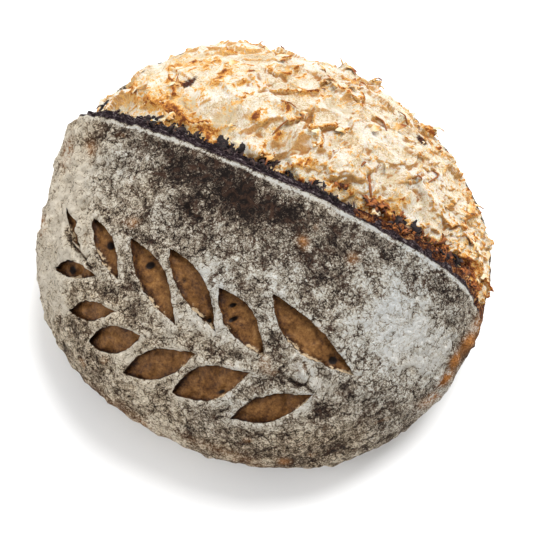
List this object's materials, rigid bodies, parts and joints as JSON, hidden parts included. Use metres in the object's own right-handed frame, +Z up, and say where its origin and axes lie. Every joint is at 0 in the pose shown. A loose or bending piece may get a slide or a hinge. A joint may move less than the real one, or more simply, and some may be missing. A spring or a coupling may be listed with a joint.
{
  "type": "sourdough loaf",
  "caption": "Round hand-shaped bread loaf with a long raised slash, a torn craggy bloom behind it and a wheat ear of leaf-shaped cuts scored into the floured crust.",
  "frame": {"origin": "centre of the loaf's outline seen from above, on the plane that it stands on", "axes": "+X along the slash, towards the end where the torn band is widest; -Y towards the scored, floured flap; +Z up"},
  "size_m": [0.2308, 0.2104, 0.1174],
  "materials": {
    "crust": "dry, matte, floured crust"
  },
  "bodies": {
    "root": {"loaf": "crust"}
  },
  "joints": []
}
